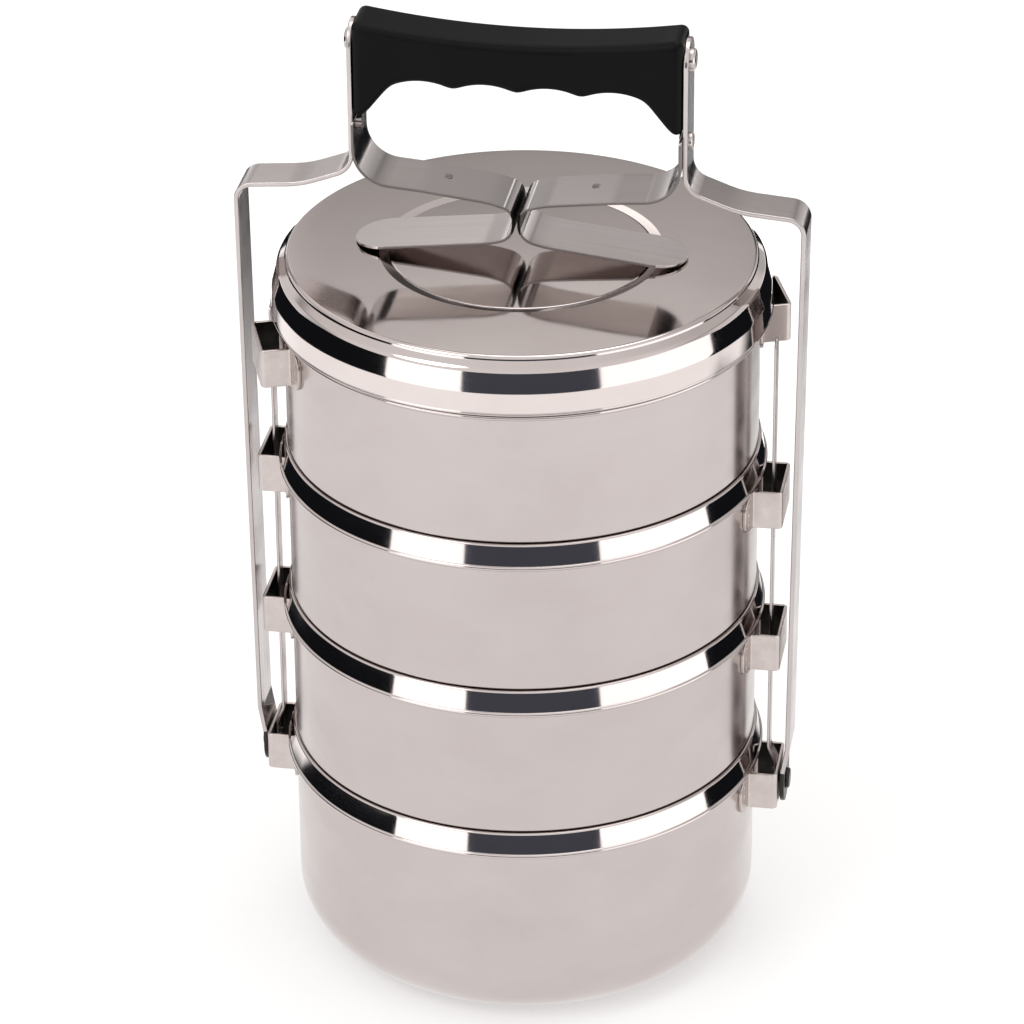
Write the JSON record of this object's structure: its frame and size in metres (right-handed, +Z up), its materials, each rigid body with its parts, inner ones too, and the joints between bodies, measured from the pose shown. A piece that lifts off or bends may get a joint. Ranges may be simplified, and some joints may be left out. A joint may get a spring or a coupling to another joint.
{
  "type": "tiffin carrier",
  "caption": "Stacked round steel food containers with a raised lid, held in a swinging strap frame with leaf springs and a black scalloped grip.",
  "frame": {"origin": "centre of the lowest container's flat bottom, on the surface it stands on", "axes": "+Z up through the stack, +X along the grip, -Y towards the side the frame swings down to"},
  "size_m": [0.168, 0.1476, 0.2983],
  "materials": {
    "polished_steel": "polished stainless sheet",
    "pressed_steel": "pressed stainless sheet, satin",
    "spring_steel": "bright strip, fine lengthwise grain",
    "rivet_steel": "bright rivets and rod",
    "black_plastic": "moulded, slightly satin"
  },
  "bodies": {
    "base": {"container_1": "polished_steel", "ear_1_left": "pressed_steel", "ear_1_right": "pressed_steel", "guide_bar_left": "pressed_steel", "guide_bar_right": "pressed_steel", "pivot_rivets": "rivet_steel"},
    "tier_2": {"container_2": "polished_steel", "ear_2_left": "pressed_steel", "ear_2_right": "pressed_steel"},
    "tier_3": {"container_3": "polished_steel", "ear_3_left": "pressed_steel", "ear_3_right": "pressed_steel"},
    "tier_4": {"container_4": "polished_steel", "ear_4_left": "pressed_steel", "ear_4_right": "pressed_steel"},
    "lid": {"lid": "polished_steel"},
    "frame": {"strap_left": "spring_steel", "strap_right": "spring_steel", "leaf_spring_left": "spring_steel", "leaf_spring_right": "spring_steel", "spring_rivets": "rivet_steel", "grip": "black_plastic", "tie_rod": "rivet_steel"}
  },
  "joints": [
    {"name": "frame_swing", "type": "hinge", "parent": "base", "child": "frame", "pos_m": [0, 0, 0.053], "axis": [1, 0, 0], "range_deg": [0, 95], "deforming": ["leaf_spring_left", "leaf_spring_right"]},
    {"name": "container_2_lift", "type": "slide", "parent": "base", "child": "tier_2", "axis": [0, 0, 1], "range_m": [0, 0.015]},
    {"name": "container_3_lift", "type": "slide", "parent": "tier_2", "child": "tier_3", "axis": [0, 0, 1], "range_m": [0, 0.015]},
    {"name": "container_4_lift", "type": "slide", "parent": "tier_3", "child": "tier_4", "axis": [0, 0, 1], "range_m": [0, 0.015]},
    {"name": "lid_lift", "type": "slide", "parent": "tier_4", "child": "lid", "axis": [0, 0, 1], "range_m": [0, 0.015]}
  ],
  "couplings": [
    {"joint": "container_2_lift", "follows": "frame_swing", "m_per_rad": 0.009},
    {"joint": "container_3_lift", "follows": "frame_swing", "m_per_rad": 0.009},
    {"joint": "container_4_lift", "follows": "frame_swing", "m_per_rad": 0.009},
    {"joint": "lid_lift", "follows": "frame_swing", "m_per_rad": 0.009}
  ]
}
